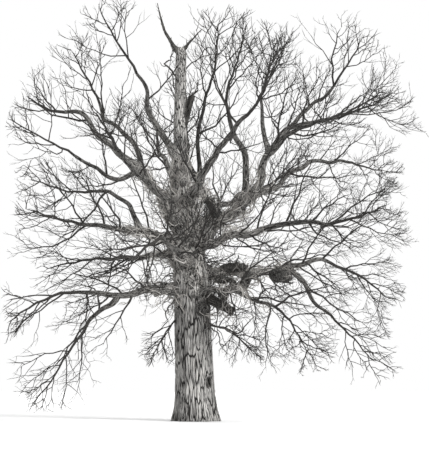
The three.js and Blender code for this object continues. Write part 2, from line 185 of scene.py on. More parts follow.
def sharpen_ends(piece, places):
    """Creases the rims that lie at these places, so that a flat end stays flat when it is smoothed."""
    bpy.ops.mesh.select_all(action="DESELECT")
    go_to("OBJECT")
    mesh = piece.data
    for face in mesh.polygons:
        if len(face.vertices) > 4 and any((face.center - place).length < 0.02 for place in places):
            face.select = True
    go_to("EDIT")
    bpy.ops.mesh.select_mode(type="FACE")
    bpy.ops.mesh.region_to_loop()
    bpy.ops.transform.edge_crease(value=1)
    bpy.ops.mesh.select_mode(type="VERT")
    bpy.ops.mesh.select_all(action="SELECT")
    bpy.ops.mesh.normals_make_consistent(inside=False)
    go_to("OBJECT")


def lay_grain(piece, grain, depth, tone):
    """Stores where each point lies on the bark, in plates, how deep the bark is, and how light, painted light
    and shade included.
    """
    for name, kind, key, values in (
        ("grain", "FLOAT_VECTOR", "vector", grain),
        ("depth", "FLOAT", "value", depth),
        ("tone", "FLOAT", "value", tone),
    ):
        stored = piece.data.attributes.get(name) or piece.data.attributes.new(name, kind, "POINT")
        stored.data.foreach_set(key, np.ravel(values))


def wired(tree, kind, feeds, **settings):
    """Adds a node, and feeds each of its sockets with a value or with another node's output."""
    made = tree.nodes.new(kind)
    for key, value in settings.items():
        setattr(made, key, value)
    for key, value in feeds.items():
        if isinstance(value, bpy.types.NodeSocket):
            tree.links.new(value, made.inputs[key])
        else:
            made.inputs[key].default_value = value
    return made


def worked_out(tree, kind, operation, *values):
    """The result of a maths node."""
    return wired(tree, kind, dict(enumerate(values)), operation=operation).outputs[0]


# Wide furrows and then fine ones: how many lie in a plate's width and length, and the width of half a furrow.
FURROWS = (((0.85, 0.85, 0.8), 0.11), ((2.1, 2.1, 0.9), 0.24))
# How far the furrows wander, and how many grains of grit and streaks lie in a plate's width and length.
FURROW_DRIFT, GRIT, STREAKS = (1.4, 1.4, 0.5), (3, 3, 1.2), (5, 5, 1.1)


def bark_height(tree, grain):
    """Nodes for the height of bark over its grain: long ridges, finer furrows that split them, and grit."""
    vector, number = "ShaderNodeVectorMath", "ShaderNodeMath"
    drift = wired(tree, "ShaderNodeTexNoise", {"Vector": grain, "Scale": 0.55, "Detail": 2.0})
    off = worked_out(tree, vector, "SUBTRACT", drift.outputs["Color"], (0.5, 0.5, 0.5))
    warp = worked_out(tree, vector, "MULTIPLY", off, FURROW_DRIFT)
    warped = worked_out(tree, vector, "ADD", grain, warp)
    ridges = []
    for spread, width in FURROWS:
        place = worked_out(tree, vector, "MULTIPLY", warped, spread)
        feeds = {"Vector": place, "Scale": 1.0}
        cells = wired(tree, "ShaderNodeTexVoronoi", feeds, feature="DISTANCE_TO_EDGE")
        feeds = {"Value": cells.outputs["Distance"], "From Min": 0.0, "From Max": width}
        ridge = wired(tree, "ShaderNodeMapRange", feeds, interpolation_type="SMOOTHSTEP")
        ridges.append(ridge.outputs["Result"])
    split = worked_out(tree, number, "MULTIPLY_ADD", ridges[1], 0.55, 0.45)
    ridge = worked_out(tree, number, "MULTIPLY", ridges[0], split)
    place = worked_out(tree, vector, "MULTIPLY", grain, GRIT)
    grit = wired(tree, "ShaderNodeTexNoise", {"Vector": place, "Scale": 1.0, "Detail": 5.0}).outputs[0]
    rough = worked_out(tree, number, "MULTIPLY_ADD", grit, 0.5, -0.25)
    return worked_out(tree, number, "ADD", ridge, rough)


def bark_relief_nodes():
    """Lifts the bark's ridges and sinks its furrows, as a modifier."""
    group = bpy.data.node_groups.new("bark_relief", "GeometryNodeTree")
    group.interface.new_socket("Geometry", in_out="INPUT", socket_type="NodeSocketGeometry")
    group.interface.new_socket("Geometry", in_out="OUTPUT", socket_type="NodeSocketGeometry")
    start = wired(group, "NodeGroupInput", {})
    named = "GeometryNodeInputNamedAttribute"
    grain = wired(group, named, {"Name": "grain"}, data_type="FLOAT_VECTOR").outputs["Attribute"]
    depth = wired(group, named, {"Name": "depth"}, data_type="FLOAT").outputs["Attribute"]
    height = bark_height(group, grain)
    level = worked_out(group, "ShaderNodeMath", "SUBTRACT", height, 0.5)
    lift = worked_out(group, "ShaderNodeMath", "MULTIPLY", level, depth)
    outwards = wired(group, "GeometryNodeInputNormal", {}).outputs[0]
    push = wired(group, "ShaderNodeVectorMath", {0: outwards, "Scale": lift}, operation="SCALE").outputs[0]
    feeds = {"Geometry": start.outputs[0], "Offset": push}
    shift = wired(group, "GeometryNodeSetPosition", feeds)
    wired(group, "NodeGroupOutput", {0: shift.outputs["Geometry"]})
    return group


bark_relief = bark_relief_nodes()


def lift_bark(piece):
    bark = piece.modifiers.new("bark", "NODES")
    bark.node_group = bark_relief
    bpy.ops.object.modifier_apply(modifier=bark.name)


def roughen(piece, levels):
    """Rounds a limb's rings and gives it its bark."""
    bpy.ops.object.select_all(action="DESELECT")
    bpy.context.view_layer.objects.active = piece
    piece.select_set(True)
    rounding = piece.modifiers.new("rounding", "SUBSURF")
    rounding.levels = rounding.render_levels = levels
    bpy.ops.object.modifier_apply(modifier=rounding.name)
    lift_bark(piece)
    bpy.ops.object.shade_smooth()


def bark_material(name, furrow, middle, ridge):
    """Grey bark: near black in the furrows, partly the bark's own darker colour and partly painted shade,
    pale on the ridges, with fine streaks and weathered patches, scaled by the stored tone, which holds
    painted light and shade on the trunk and the burrs.
    """
    made = bpy.data.materials.new(name)
    made.use_nodes = True
    tree = made.node_tree
    skin = tree.nodes["Principled BSDF"]
    skin.inputs["Roughness"].default_value = 0.92
    skin.inputs["Specular IOR Level"].default_value = 0.2
    number, vector, noise = "ShaderNodeMath", "ShaderNodeVectorMath", "ShaderNodeTexNoise"

    grain = wired(tree, "ShaderNodeAttribute", {}, attribute_name="grain").outputs["Vector"]
    tone = wired(tree, "ShaderNodeAttribute", {}, attribute_name="tone").outputs["Fac"]
    place = wired(tree, "ShaderNodeTexCoord", {}).outputs["Object"]
    height = bark_height(tree, grain)
    along = worked_out(tree, vector, "MULTIPLY", grain, STREAKS)
    feeds = {"Vector": along, "Scale": 1.0, "Detail": 4.0, "Roughness": 0.6}
    streaks = wired(tree, noise, feeds).outputs[0]
    fine = wired(tree, noise, {"Vector": place, "Scale": 38.0, "Detail": 4.0}).outputs[0]
    patch = wired(tree, noise, {"Vector": place, "Scale": 1.6, "Detail": 4.0}).outputs[0]

    streaked = worked_out(tree, number, "MULTIPLY_ADD", streaks, 1.2, -0.6)
    mottled = worked_out(tree, number, "MULTIPLY_ADD", fine, 0.5, -0.25)
    detail = worked_out(tree, number, "ADD", streaked, mottled)
    shown = worked_out(tree, number, "ADD", height, detail)
    # The furrow colour is partly painted shade, laid over the shade of the lifted relief.
    tones = wired(tree, "ShaderNodeValToRGB", {"Fac": shown})
    tones.color_ramp.elements[0].position = 0.02
    tones.color_ramp.elements[0].color = (*furrow, 1)
    tones.color_ramp.elements[1].position = 0.9
    tones.color_ramp.elements[1].color = (*ridge, 1)
    tones.color_ramp.elements.new(0.32).color = (*middle, 1)

    feeds = {"Value": patch, "From Min": 0.35, "From Max": 0.65, "To Min": 0.7, "To Max": 1.15}
    worn = wired(tree, "ShaderNodeMapRange", feeds).outputs["Result"]
    light = worked_out(tree, number, "MULTIPLY", worn, tone)
    shaded = wired(tree, vector, {0: tones.outputs["Color"], "Scale": light}, operation="SCALE").outputs[0]
    tree.links.new(shaded, skin.inputs["Base Color"])
    bump = wired(tree, "ShaderNodeBump", {"Strength": 0.7, "Distance": 0.02, "Height": shown})
    tree.links.new(bump.outputs["Normal"], skin.inputs["Normal"])
    return made


# Near black furrows: the bark's own dark colour with painted shade.
TRUNK_BARK = bark_material(
    "trunk_bark", furrow=(0.008, 0.0075, 0.007), middle=(0.12, 0.116, 0.11), ridge=(0.72, 0.705, 0.68)
)

trunk = new_ring("trunk_bark", trunk_centre(0), trunk_radius(0), TRUNK_SIDES, BUTTRESS_TURN / BUTTRESSES)
ring_heights = [TRUNK_HEIGHT * (i / TRUNK_RINGS) ** RING_SPREAD for i in range(TRUNK_RINGS + 1)]
for below, above in zip(ring_heights, ring_heights[1:]):
    draw_on(trunk_centre(below), trunk_centre(above), trunk_radius(above) / trunk_radius(below))
top = trunk_centre(TRUNK_HEIGHT)
for rise, growth in TOP_STEPS:
    draw_on(top, top + Vector((0, 0, rise)), growth)
    top = top + Vector((0, 0, rise))
go_to("OBJECT")
for i in range(TRUNK_RINGS * TRUNK_SIDES, len(trunk.data.vertices)):
    trunk.data.vertices[i].co.z += sum(height * math.sin(i * turn) for height, turn in TOP_JAGS)

# Every sixth point of the lower rings is a buttress's crest, and the one half way between is a hollow.
for kind in range(BUTTRESS_SIDES):
    crest = math.cos(math.tau * kind / BUTTRESS_SIDES)
    for i, z in enumerate(ring_heights[:BUTTRESS_RINGS]):
        chosen = np.zeros(len(trunk.data.vertices), dtype=bool)
        chosen[i * TRUNK_SIDES + kind : (i + 1) * TRUNK_SIDES : BUTTRESS_SIDES] = True
        select_points(trunk, chosen)
        size = 1 + crest * BUTTRESS_DEPTH * math.exp(-z / BUTTRESS_HEIGHT)
        bpy.ops.transform.resize(value=(size, size, 1), center_override=trunk_centre(z))
        go_to("OBJECT")
go_to("EDIT")
sharpen_ends(trunk, [trunk_centre(0)])

# The bark's ridges are counted round the trunk and along it, and they are far longer than wide.
RIDGE_LENGTH, TRUNK_BARK_DEPTH, LIMB_BARK_DEPTH = 8, 0.5, 0.34
ridges_up = [0.0]
for below, above in zip(ring_heights, ring_heights[1:]):
    ridges_up.append(ridges_up[-1] + (above - below) / (RIDGE_LENGTH * plate_width(trunk_radius(below))))
grain, depth, tone = [], [], []
for v in trunk.data.vertices:
    z = min(max(v.co.z, 0), TRUNK_HEIGHT)
    radius = trunk_radius(z)
    off = v.co - trunk_centre(z)
    width = plate_width(radius)
    grain.append((off.x / width, off.y / width, np.interp(z, ring_heights, ridges_up)))
    depth.append(TRUNK_BARK_DEPTH * width)
    # Painted shade: the bark is darker towards either side of the trunk, and lighter or darker by height.
    side_shade = read_off(PAINTED_SHADE_ACROSS, off.x / radius)
    tone.append(side_shade * read_off(PAINTED_SHADE_UP, z))
lay_grain(trunk, grain, depth, tone)
roughen(trunk, 3)


def pull_skin(piece, place, size, reach, shift):
    """Moves the skin within this size of a place, and the skin round it less and less."""
    corners = np.empty(len(piece.data.vertices) * 3)
    piece.data.vertices.foreach_get("co", corners)
    off = (corners.reshape(-1, 3) - np.array(place)) / np.array(size)
    select_points(piece, (off**2).sum(axis=1) < 1)
    bpy.ops.transform.translate(
        value=shift, use_proportional_edit=True, proportional_edit_falloff="SMOOTH", proportional_size=reach
    )
    go_to("OBJECT")


# A rim has swelled round the hollow of the lost branch, and then the hollow itself sinks in.
pull_skin(trunk, KNOT, (0.18, 0.2, 0.34), 0.2, (0.03, -0.08, 0))
pull_skin(trunk, KNOT, (0.08, 0.3, 0.2), 0.12, (-0.1, 0.45, 0))
for v in trunk.data.vertices:
    v.co.z = max(v.co.z, 0)
trunk.data.materials.append(TRUNK_BARK)
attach(trunk, "root")
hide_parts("trunk")


# The main boughs: each is one tapering limb that leaves the trunk or another bough in a swollen collar.
# They wander and kink as old oak limbs do, knots swell on them, and their bark is finer than the trunk's.
def bough(on, at, bearings, rises, length, butt, tip, reach, droop):
    """What it grows on and where, its bearings and rises from butt to tip in degrees, its length and radii,
    the reach of the twigs at its tip, and how strongly those hang."""
    return dict(
        on=on, at=at, bearings=bearings, rises=rises,
        length=length, butt=butt, tip=tip, reach=reach, droop=droop,
    )


BOUGHS = {
    "low_left": bough("trunk", 5.3, [200, 206, 200], [0, 18, 2, -10, -8, 20, 4], 5.1, 0.22, 0.07, 3.5, 0.1),
    "low_left_drop": bough("low_left", 0.66, [152, 162], [-48, -24, -55, -60], 2.7, 0.12, 0.055, 3.3, 0.13),
    "left_shelf": bough("trunk", 6.6, [142, 148, 140], [14, 4, 4, 0], 4.9, 0.17, 0.065, 3.7, 0.06),
    "left_mid": bough("trunk", 7.4, [212, 206, 214], [4, 5, 5, 4, -8], 5.2, 0.2, 0.065, 3.6, 0.04),
    "left_mid_rise": bough("left_mid", 0.46, [160, 150], [72, 66, 18, 6, 2], 3.7, 0.11, 0.055, 3.5, 0.03),
    "left_great": bough(
        "trunk", 7.8, [172, 168, 174], [58, 58, 57, 56, 42, 36, 58, 34, 4], 8.2, 0.25, 0.075, 3.2, -0.03
    ),
    "left_great_side": bough("left_great", 0.42, [210, 220], [-8, -12, 30, 22], 3.6, 0.12, 0.055, 3.5, 0.02),
    "left_second": bough(
        "left_great", 0.37, [140, 150], [74, 74, 62, 36, 44, 20, 64, 54], 4.9, 0.14, 0.06, 3.4, 0
    ),
    "left_upright": bough(
        "trunk", 10.5, [212, 206, 216], [61, 61, 62, 48, 50, 88, 62, 46], 4.7, 0.17, 0.06, 3.4, 0
    ),
    "right_great": bough(
        "trunk", 6.9, [352, 358, 362], [50, 51, 46, 34, 38, 70, 80, 62, 38, 22, 18], 8.4, 0.27, 0.07, 3.4, 0
    ),
    "cross_limb": bough("right_great", 0.24, [152, 124, 100], [52, 52, 54], 4.7, 0.19, 0.07, 3.4, 0),
    "centre_thin": bough(
        "cross_limb", 0.32, [230, 256, 300, 330], [76, 84, 78, 82, 60], 4.7, 0.11, 0.055, 3.1, 0
    ),
    "right_upright": bough(
        "right_great", 0.36, [350, 250, 216, 260], [64, 80, 62, 54, 60], 4.8, 0.17, 0.065, 3.0, 0
    ),
    "right_fan_up": bough("right_great", 0.7, [112, 98, 84], [58, 56, 52, 58], 3.6, 0.12, 0.055, 3.3, 0),
    "right_fan_high": bough("right_great", 0.76, [14, 8], [54, 38, 40, 54], 3.8, 0.11, 0.055, 3.4, 0),
    "right_fan_side": bough("right_great", 0.68, [324, 310], [44, 20, 6, 0], 4.2, 0.12, 0.055, 3.5, 0.03),
    "right_shelf_high": bough(
        "right_great", 0.46, [26, 38, 30], [14, 34, 24, 14, -6], 5.6, 0.14, 0.06, 3.6, 0.04
    ),
    "right_mid": bough("trunk", 7.3, [330, 334, 326], [8, 12, 8, 4, -4, -8], 7.1, 0.18, 0.065, 3.6, 0.02),
    "right_low": bough("trunk", 5.9, [22, 28, 22], [14, 12, -8, 4, 12, -14], 7.2, 0.24, 0.075, 3.6, 0.13),
    "right_low_drop": bough("right_low", 0.7, [338, 328], [-34, -52, -44], 3.1, 0.12, 0.055, 3.0, 0.1),
    "right_drop": bough("trunk", 5.3, [322, 326], [10, 6, -14, -26, -30], 4.5, 0.14, 0.055, 3.0, 0.06),
    "front_low": bough("trunk", 6.2, [262, 254, 262], [16, 6, 12, 2], 5.3, 0.2, 0.07, 3.7, 0.08),
    "front_left": bough("trunk", 8.0, [246, 240, 248], [34, 28, 22, 14], 6.3, 0.19, 0.07, 3.4, 0),
    "front_right": bough("trunk", 8.6, [302, 298, 304], [40, 34, 26, 20], 6.3, 0.19, 0.07, 3.4, 0),
    "back_low": bough("trunk", 6.6, [84, 96, 88], [14, 4, 12, 2], 5.3, 0.2, 0.07, 3.7, 0.08),
    "back_left": bough("trunk", 8.6, [106, 112, 106], [46, 42, 34, 30], 6.3, 0.19, 0.07, 3.6, 0),
    "back_right": bough("trunk", 7.8, [62, 54, 64], [36, 28, 20, 14], 6.5, 0.19, 0.07, 3.6, 0),
    "dead_top_left": bough("trunk", 15.7, [184, 176], [46, 58, 72, 78], 2.57, 0.1, 0.012, 0, 0),
    "dead_top_right": bough("trunk", 15.6, [4, -4], [58, 54, 36], 1.55, 0.075, 0.01, 0, 0),
}
LIMB_STEP, LIMB_BEND, LIMB_KINK = 0.42, 9, 13
BEND_TURN = (170, 205)
RING_STEP = 0.24
COLLAR, COLLAR_LENGTH = 0.55, 1.2
MOST_OF_PARENT, MOST_OF_BUTT = 1.15, 0.9
SUNK_SHARE, SUNK_LEAST = 1.4, 0.05
KNOTTY = 0.12
THICK_BUTT, THICK_SIDES, THIN_SIDES = 0.15, 16, 12
BARK_APART = 40
# Thin wood is darker than thick wood, and the inside of a torn limb is darkest.
THICKNESS_TONES = {0.06: 0.4, 0.2: 1}
TORN_TONE, TORN_DEPTH, TORN_WIDTH = 0.25, 0.9, 0.6
DARK_BOUGHS = {"cross_limb": 0.35, "centre_thin": 0.5, "right_upright": 0.7}


def mixed(seed):
    """Scatters the bits of a whole number."""
    bits = seed & 0xFFFFFFFF
    bits = ((bits ^ (bits >> 16)) * 0x7FEB352D) & 0xFFFFFFFF
    bits = ((bits ^ (bits >> 15)) * 0x846CA68B) & 0xFFFFFFFF
    return bits ^ (bits >> 16)


class Dice:
    """Numbers that look random and are the same on every run."""

    def __init__(self, seed):
        self.state = mixed(seed)

    def roll(self, low, high):
        self.state = (self.state * 1664525 + 1013904223) & 0xFFFFFFFF
        return low + (high - low) * self.state / 2**32

    def push(self):
        return Vector((self.roll(-1, 1), self.roll(-1, 1), self.roll(-1, 1)))


def heading(bearing, rise):
    level = math.cos(math.radians(rise))
    across, away = math.cos(math.radians(bearing)), math.sin(math.radians(bearing))
    return Vector((level * across, level * away, math.sin(math.radians(rise))))


def stretch_at(count, share):
    x = min(max(share, 0), 1) * (count - 1)
    index = min(int(x), count - 2)
    return index, x - index


def between(values, share):
    index, part = stretch_at(len(values), share)
    return values[index] + (values[index + 1] - values[index]) * part


def radius_along(form, share):
    return between([form["butt"], form["tip"]], share)


def way_along(path, share):
    index, _ = stretch_at(len(path), share)
    return (path[index + 1] - path[index]).normalized()


def bough_path(name):
    """Straight stretches that follow the bough's bearings and rises, with slow bends and kinks."""
    form = BOUGHS[name]
    dice = Dice(1000 + list(BOUGHS).index(name))
    steps = max(6, int(form["length"] / LIMB_STEP + 0.5))
    phases = [dice.roll(0, 360), dice.roll(0, 360)]
    on_trunk = form["on"] == "trunk"
    path = [trunk_centre(form["at"]) if on_trunk else between(bough_paths[form["on"]], form["at"])]
    for i in range(steps):
        share = (i + 0.5) / steps
        run = share * form["length"]
        side = 1 if i % 2 else -1
        bends = [LIMB_BEND * math.sin(math.radians(p + t * run)) for p, t in zip(phases, BEND_TURN)]
        bearing = between(form["bearings"], share) + bends[0] + side * dice.roll(0, 1) * LIMB_KINK
        rise = between(form["rises"], share) + bends[1] + side * dice.roll(-1, 1) * LIMB_KINK
        path.append(path[-1] + heading(bearing, rise) * form["length"] / steps)
    return path


bough_paths = {}
for name in BOUGHS:
    bough_paths[name] = bough_path(name)


def rounded_path(path, step):
    """The same path with its corners rounded, as points about one step apart."""
    ends = [path[0] * 2 - path[1], *path, path[-1] * 2 - path[-2]]
    length = sum((b - a).length for a, b in zip(path, path[1:]))
    count = max(3, round(length / step))
    places = []
    for i in range(count + 1):
        index, t = stretch_at(len(path), i / count)
        a, b, c, d = ends[index : index + 4]
        places.append(
            (b * 2 + (c - a) * t + (a * 2 - b * 5 + c * 4 - d) * t**2 + (b * 3 - a - c * 3 + d) * t**3) / 2
        )
    return places


def depth_in_parent(form, place):
    """How far inside the trunk or the parent bough's wood a place lies."""
    if form["on"] == "trunk":
        z = min(place.z, TRUNK_HEIGHT)
        return trunk_radius(z) - (place - trunk_centre(z)).length
    parent = BOUGHS[form["on"]]
    radius = radius_along(parent, form["at"])
    return radius - (place - between(bough_paths[form["on"]], form["at"])).length


def limb_piece(name, path, radii, sides, offset, torn=0.0, tone=1.0):
    """A limb drawn out ring by ring along a path, with its bark's grain. A torn one ends in splinters."""
    ways = [(b - a).normalized() for a, b in zip(path, path[1:])]
    ways = [ways[0]] + [(a + b).normalized() for a, b in zip(ways, ways[1:])] + [ways[-1]]
    piece = new_ring(name, path[0], radii[0], sides)
    turn_end(path[0], Vector((0, 0, 1)), ways[0])
    for i in range(1, len(path)):
        draw_on(path[i - 1], path[i], radii[i] / radii[i - 1])
        turn_end(path[i], ways[i - 1], ways[i])
    if torn:
        draw_on(path[-1], path[-1] - ways[-1] * radii[-1] * TORN_DEPTH, TORN_WIDTH)
        go_to("OBJECT")
        dice = Dice(offset)
        rim = range((len(path) - 1) * sides, len(path) * sides)
        for i in rim:
            piece.data.vertices[i].co += ways[-1] * torn * dice.roll(-0.5, 1) * dice.roll(0.2, 1)
        chosen = np.zeros(len(piece.data.vertices), dtype=bool)
        chosen[rim.start : rim.stop] = True
        select_points(piece, chosen)
        bpy.ops.transform.edge_crease(value=1)
    sharpen_ends(piece, [path[0]] if torn else [path[0], path[-1]])

    side = ways[0].orthogonal().normalized()
    grain, depth, tones, along = [], [], [], offset
    for i in range(len(path) + bool(torn)):
        k = min(i, len(path) - 1)
        side = (side - ways[k] * side.dot(ways[k])).normalized()
        up = side.cross(ways[k])
        width = plate_width(radii[k])
        if 0 < i < len(path):
            along += (path[i] - path[i - 1]).length / (RIDGE_LENGTH * width)
        for v in piece.data.vertices[i * sides : (i + 1) * sides]:
            out = (v.co - path[k]) / width
            grain.append((out.dot(side), out.dot(up), along))
            depth.append(LIMB_BARK_DEPTH * width)
            light = read_off(THICKNESS_TONES, radii[k])
            tones.append(tone * (TORN_TONE if i == len(path) else light))
    lay_grain(piece, grain, depth, tones)
    roughen(piece, 2)
    return piece


# Near black furrows here too: the wood's own dark colour with painted shade.
BOUGH_BARK = bark_material(
    "bough_bark", furrow=(0.006, 0.0055, 0.005), middle=(0.06, 0.057, 0.054), ridge=(0.42, 0.41, 0.39)
)
DEAD_WOOD = bark_material(
    "dead_wood", furrow=(0.012, 0.011, 0.01), middle=(0.07, 0.067, 0.062), ridge=(0.3, 0.29, 0.27)
)

for index, (name, form) in enumerate(BOUGHS.items()):
    dead = not form["reach"]
    places = rounded_path(bough_paths[name], RING_STEP / 2 if dead else RING_STEP)
    butt = form["butt"]
    buried = [depth_in_parent(form, place) for place in places]
    first = max((i for i, d in enumerate(buried) if d > SUNK_SHARE * butt + SUNK_LEAST), default=0)
    surface = next(i for i, d in enumerate(buried) if d < 0)
    most = math.inf
    if form["on"] != "trunk":
        parent = BOUGHS[form["on"]]
        most = max(MOST_OF_PARENT * radius_along(parent, form["at"]), MOST_OF_BUTT * butt)
    dice = Dice(2000 + index)
    radii = []
    for i in range(len(places)):
        past = max(0, i - surface) * form["length"] / (len(places) - 1)
        knot = KNOTTY * dice.roll(-0.6, 1) * dice.roll(0, 1)
        swell = 1 + COLLAR * math.exp(-past / (COLLAR_LENGTH * butt)) + knot
        radii.append(min(radius_along(form, i / (len(places) - 1)) * swell, most))
    sides = THICK_SIDES if butt > THICK_BUTT else THIN_SIDES
    piece_name = name + ("_wood" if dead else "_limb")
    light = DARK_BOUGHS.get(name, 1.0)
    limb = limb_piece(piece_name, places[first:], radii[first:], sides, BARK_APART * index, tone=light)
    limb.data.materials.append(DEAD_WOOD if dead else BOUGH_BARK)
    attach(limb, "root")
    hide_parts(name if dead else name + "_bough")


# Broken limbs: a great limb torn off low on the right, and two stems snapped off high up beside the trunk.
# Each stub is a short limb that starts inside the trunk and ends in a cup of splinters.
STUBS = {
    "torn_limb": dict(at=5.5, bearing=340, rise=-28, length=2.1, butt=0.25, tip=0.17, torn=0.16),
    "broken_stem": dict(at=12.0, bearing=10, rise=74, length=1.85, butt=0.18, tip=0.12, torn=0.3),
    "left_stub": dict(at=10.9, bearing=168, rise=58, length=2.1, butt=0.13, tip=0.08, torn=0.22),
}
STUB_STEP, STUB_SHAKE, STUB_SIDES, STUB_TONE = 0.2, 0.03, 14, 0.5

for index, (name, form) in enumerate(STUBS.items()):
    run = heading(form["bearing"], form["rise"]) * form["length"]
    count = round(form["length"] / STUB_STEP)
    dice = Dice(2500 + index)
    places = [trunk_centre(form["at"]) + run * i / count for i in range(count + 1)]
    for i in range(1, count):
        places[i] = places[i] + Vector((0, dice.roll(-1, 1), dice.roll(-1, 1))) * STUB_SHAKE
    radii = [radius_along(form, i / count) * dice.roll(0.94, 1.1) for i in range(count + 1)]
    stub = limb_piece(name, places, radii, STUB_SIDES, 3000 + BARK_APART * index, form["torn"], STUB_TONE)
    stub.data.materials.append(DEAD_WOOD)
    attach(stub, "root")


# The twigs: at the tip of each living bough a stem grows on and branches, and each branch again,
# by one seeded rule, down to twigs a finger thick and less. They keep to their own space, clear of the limbs.
TRUNK_SHOOTS = {
    "left_shoots": dict(at=4.6, bearing=192, rise=-30, reach=2.1, radius=0.035, droop=0.06),
    "right_shoots": dict(at=3.9, bearing=342, rise=6, reach=2.4, radius=0.04, droop=0.08),
    "burr_shoots": dict(at=6.9, bearing=298, rise=16, reach=2.2, radius=0.05, droop=-0.03),
}
CROWN_HEART, CROWN_MIDDLE = Vector((0.3, 0, 6.5)), Vector((0.85, 0, 8.0))
CROWN_WIDE, CROWN_DEEP, CROWN_HIGH = 9.05, 8.7, 9.4
CROWN_DOME, CROWN_SKIRT, CROWN_LUMP = 4, 4.4, 0.16
LOWEST_TWIG = 0.35
LEVELS = (
    dict(steps=9, side=9, share=1.0, splay=0, lift=0.02, bend=0.4, droop=1.0),
    dict(steps=7, side=6, share=0.74, splay=52, lift=0.05, bend=0.48, droop=1.0),
    dict(steps=5, side=4, share=0.66, splay=46, lift=0.07, bend=0.52, droop=0.8),
    dict(steps=4, side=3, share=0.66, splay=40, lift=0.08, bend=0.52, droop=0.5),
    dict(steps=3, side=0, share=0.66, splay=36, lift=0.08, bend=0.46, droop=0.3),
)
TWIG_SIDES = (8, 6, 4, 3, 3)
LEAST_RADIUS = (0.042, 0.024, 0.015, 0.0105, 0.008)
LEAST_TIP = 0.4
TURN = 137.5
OUTWARD_PULL = 0.11
STEM_SHARE, SPACE_SHARE = 0.95, 0.95
TWIG_TAPER, CHILD_RADIUS = 0.35, 0.62
WALL_MARGIN, WALL_TURN, WALL_SLIP = 0.02, 1.15, 0.06
TWIG_CLEARANCE = 0.04
STEM_BARE, TWIG_BARE = 0.16, 0.28
SAMPLE, CELL = 0.1, 0.5


def square_to(way):
    side = Vector((way.y, -way.x, 0))
    return side.normalized() if side.length_squared > 1e-4 else Vector((1, 0, 0))


def leaning(axis, splay, roll):
    """The direction that leans off an axis by the splay, on the side that the roll gives."""
    side = square_to(axis)
    out = side * math.cos(roll) + side.cross(axis) * math.sin(roll)
    return (axis * math.cos(splay) + out * math.sin(splay)).normalized()


limb_points = {}


def note_point(name, place, radius):
    far = radius + TWIG_CLEARANCE + 0.1
    spans = [range(math.floor((c - far) / CELL), math.floor((c + far) / CELL) + 1) for c in place]
    for cell in itertools.product(*spans):
        limb_points.setdefault(cell, []).append((name, place, radius + TWIG_CLEARANCE))


for i in range(int(TRUNK_HEIGHT / SAMPLE) + 1):
    note_point("trunk", trunk_centre(i * SAMPLE), trunk_radius(i * SAMPLE))
for stub in STUBS.values():
    for i in range(int(stub["length"] / SAMPLE + 0.001) + 1):
        run = heading(stub["bearing"], stub["rise"]) * i * SAMPLE
        note_point("trunk", trunk_centre(stub["at"]) + run, stub["butt"])
for name, path in bough_paths.items():
    count = int(BOUGHS[name]["length"] / SAMPLE + 0.5)
    for i in range(count + 1):
        radius = radius_along(BOUGHS[name], i / count)
        note_point(name, between(path, i / count), radius)


def cell_of(place):
    return math.floor(place.x / CELL), math.floor(place.y / CELL), math.floor(place.z / CELL)


def hits_limb(mass, place, radius, level):
    for name, point, clear in limb_points.get(cell_of(place), ()):
        if (point - place).length_squared < (clear + radius) ** 2 and (level or name != mass["limb"]):
            return True
    return False


# How full each mass is: how many finer twigs it grows for each one that the rule gives, and how many
# times wider than usual the gaps between its bough's side branches are.
USUAL_FULLNESS = (0.9, 1)
FULLNESS = {
    "low_left": (0.45, 1.4), "low_left_drop": (0.3, 2.4), "left_shelf": (0.4, 1), "left_mid": (0.4, 1),
    "left_mid_rise": (0.5, 1.8), "left_great": (0.5, 2.8), "left_great_side": (0.4, 2.4),
    "left_second": (0.6, 2.4), "left_upright": (0.45, 2.2), "left_shoots": (0.4, 1),
    "right_great": (0.45, 1), "cross_limb": (0.35, 2.6), "centre_thin": (0.3, 3.0),
    "right_upright": (0.3, 3.0), "right_fan_up": (0.4, 1), "right_fan_high": (0.5, 1),
    "right_shelf_high": (1.2, 1), "right_mid": (1.4, 0.75), "right_low": (1.3, 0.6),
    "right_low_drop": (0.35, 2.2), "right_drop": (0.8, 0.8), "burr_shoots": (0.4, 1),
    "front_low": (0.5, 1), "front_left": (0.3, 1.8), "front_right": (0.4, 1.6), "back_left": (0.35, 1),
    "back_right": (0.4, 1),
}


def mass_of(name, limb, start, way, centre_share, radius, form, seed, finest):
    """One mass of twigs: where it starts, the ball that it keeps to, and how it grows."""
    return dict(
        name=name, limb=limb, start=start, way=way, radius=radius, reach=form["reach"], droop=form["droop"],
        centre=start + way * form["reach"] * centre_share, seed=seed, finest=finest,
        fine=FULLNESS.get(name.replace("_twigs", ""), USUAL_FULLNESS)[0],
    )


masses = []
for name, form in BOUGHS.items():
    if form["reach"]:
        start, way = bough_paths[name][-1], way_along(bough_paths[name], 1)
        seed = 7000 + 37 * len(masses)
        masses.append(mass_of(name + "_twigs", name, start, way, 0.4, form["tip"], form, seed, 4))
for k, (name, form) in enumerate(TRUNK_SHOOTS.items()):
    way = heading(form["bearing"], form["rise"])
    start = trunk_centre(form["at"]) + way * trunk_radius(form["at"]) * 0.8
    masses.append(mass_of(name, "trunk", start, way, 0.5, form["radius"], form, 7900 + 37 * k, 3))
# A wall stands between two masses where their spaces would meet.
for mass in masses:
    mass["walls"] = []
    for other in masses:
        way = other["centre"] - mass["centre"]
        distance = way.length
        if other is not mass and distance < (mass["reach"] + other["reach"]) * SPACE_SHARE:
            way.normalize()
            share = mass["reach"] / (mass["reach"] + other["reach"])
            mass["walls"].append((way, way.dot(mass["centre"]) + distance * share))


